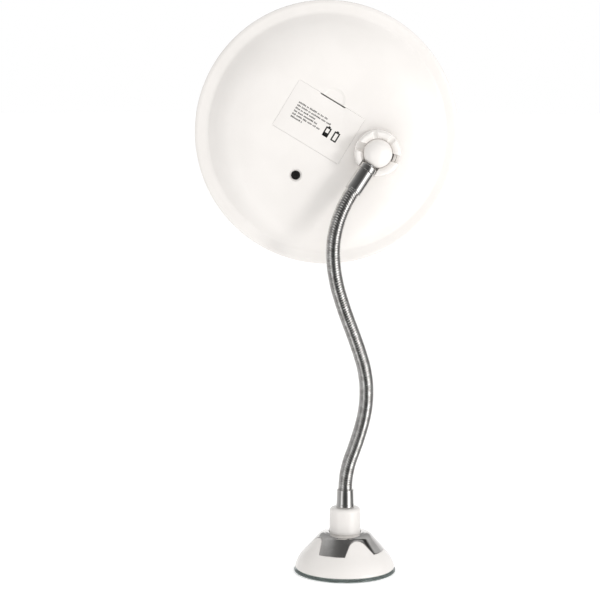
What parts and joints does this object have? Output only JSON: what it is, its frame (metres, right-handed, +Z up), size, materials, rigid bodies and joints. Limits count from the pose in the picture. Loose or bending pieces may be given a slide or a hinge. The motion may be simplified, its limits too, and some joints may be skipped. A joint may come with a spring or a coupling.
{
  "type": "extendable shaving mirror",
  "caption": "Round lighted mirror on a chrome gooseneck arm with a ball joint, held by a twist-lock suction cup.",
  "frame": {"origin": "centre of the suction cup's flat underside, on the surface that it grips", "axes": "+Z up along the base's axis; the mirror glass faces +Y; +X to the right when seen from behind the mirror"},
  "size_m": [0.184, 0.072, 0.4012],
  "materials": {
    "white_plastic": "gloss",
    "chrome": "mirror",
    "clear_cup": "gloss",
    "steel": "satin",
    "black_plastic": "gloss",
    "seat_plastic": "matte",
    "mirror_glass": "mirror",
    "frosted_ring": "matte",
    "inner_white": "matte",
    "foam_tape": "matte",
    "circuit_board": "satin",
    "led_lens": "gloss",
    "cell_jacket": "gloss",
    "contact_brass": "satin",
    "wire_jacket": "satin"
  },
  "bodies": {
    "base": {"suction_cup": "clear_cup", "neck_collar": "white_plastic", "lower_ferrule": "chrome", "arm_link_1": "chrome"},
    "lock_ring": {"lock_skirt": "white_plastic", "lock_cap": "chrome"},
    "stud": {"pull_stud": "steel", "cross_pin": "steel"},
    "link_2": {"arm_link_2": "chrome"},
    "link_3": {"arm_link_3": "chrome"},
    "link_4": {"arm_link_4": "chrome"},
    "link_5": {"arm_link_5": "chrome"},
    "link_6": {"arm_link_6": "chrome"},
    "link_7": {"arm_link_7": "chrome"},
    "link_8": {"arm_link_8": "chrome"},
    "arm_tip": {"arm_link_9": "chrome", "upper_ferrule": "chrome", "stem_nut": "chrome", "ball_stud": "steel"},
    "ball": {"ball": "white_plastic"},
    "nut": {"swivel_nut": "white_plastic"},
    "head": {"socket_cup": "seat_plastic", "rear_housing": "white_plastic", "front_bezel": "white_plastic", "mirror_glass": "mirror_glass", "adhesive_pad": "foam_tape", "light_diffuser": "frosted_ring", "mirror_carrier": "inner_white", "carrier_screws": "steel", "led_board": "circuit_board", "leds": "led_lens", "battery_tray": "inner_white", "batteries": "cell_jacket", "battery_contacts": "contact_brass", "switch_body": "seat_plastic", "button_spring": "steel", "wires": "wire_jacket"},
    "cover": {"battery_cover": "white_plastic"},
    "button": {"switch_button": "black_plastic"}
  },
  "joints": [
    {"name": "lock_turn", "type": "hinge", "parent": "base", "child": "lock_ring", "pos_m": [0, 0, 0], "axis": [0, 0, 1], "range_deg": [0, 90]},
    {"name": "stud_lift", "type": "slide", "parent": "base", "child": "stud", "axis": [0, 0, 1], "range_m": [0, 0.003], "deforming": ["suction_cup"]},
    {"name": "bend_1", "type": "hinge", "parent": "base", "child": "link_2", "pos_m": [0.00425, -0.00109, 0.08317], "axis": [0.0298, 0.9962, 0.0819], "range_deg": [-30, 30]},
    {"name": "bend_2", "type": "hinge", "parent": "link_2", "child": "link_3", "pos_m": [0.01142, -0.0041, 0.1066], "axis": [0.971, 0.0385, -0.2358], "range_deg": [-30, 30]},
    {"name": "bend_3", "type": "hinge", "parent": "link_3", "child": "link_4", "pos_m": [0.01418, -0.00841, 0.13069], "axis": [0.0033, -0.9816, -0.1908], "range_deg": [-30, 30]},
    {"name": "bend_4", "type": "hinge", "parent": "link_4", "child": "link_5", "pos_m": [0.0104, -0.01316, 0.15456], "axis": [-0.9579, 0.0572, -0.2812], "range_deg": [-30, 30]},
    {"name": "bend_5", "type": "hinge", "parent": "link_5", "child": "link_6", "pos_m": [0.00249, -0.01766, 0.17751], "axis": [-0.0622, 0.9848, 0.1621], "range_deg": [-30, 30]},
    {"name": "bend_6", "type": "hinge", "parent": "link_6", "child": "link_7", "pos_m": [-0.00536, -0.02131, 0.20064], "axis": [0.9594, -0.0358, 0.2796], "range_deg": [-30, 30]},
    {"name": "bend_7", "type": "hinge", "parent": "link_7", "child": "link_8", "pos_m": [-0.00972, -0.02326, 0.22481], "axis": [0.0024, -0.9994, -0.0348], "range_deg": [-30, 30]},
    {"name": "bend_8", "type": "hinge", "parent": "link_8", "child": "arm_tip", "pos_m": [-0.00715, -0.02282, 0.24924], "axis": [-0.9615, 0.0199, 0.2742], "range_deg": [-30, 30]},
    {"name": "roll", "type": "hinge", "parent": "arm_tip", "child": "ball", "pos_m": [0.02054, -0.0143, 0.29717], "axis": [-0.5507, -0.1736, -0.8164], "range_deg": [-40, 40]},
    {"name": "tilt", "type": "hinge", "parent": "ball", "child": "nut", "pos_m": [0.02054, -0.0143, 0.29717], "axis": [0.829, 0, -0.5592], "range_deg": [-8, 110]},
    {"name": "spin", "type": "hinge", "parent": "nut", "child": "head", "pos_m": [0.02054, -0.0143, 0.29717], "axis": [0, -1, 0], "range_deg": [-180, 180]},
    {"name": "cover_open", "type": "hinge", "parent": "head", "child": "cover", "pos_m": [-0.0288, -0.0003, 0.30301], "axis": [0.8572, 0, -0.515], "range_deg": [0, 75]},
    {"name": "button_push", "type": "slide", "parent": "head", "child": "button", "axis": [0, 1, 0], "range_m": [0, 0.0012], "stiffness_N_per_m": 400, "springref_m": -0.001, "deforming": ["button_spring"]}
  ],
  "couplings": [
    {"joint": "stud_lift", "follows": "lock_turn", "m_per_rad": 0.0019099}
  ]
}
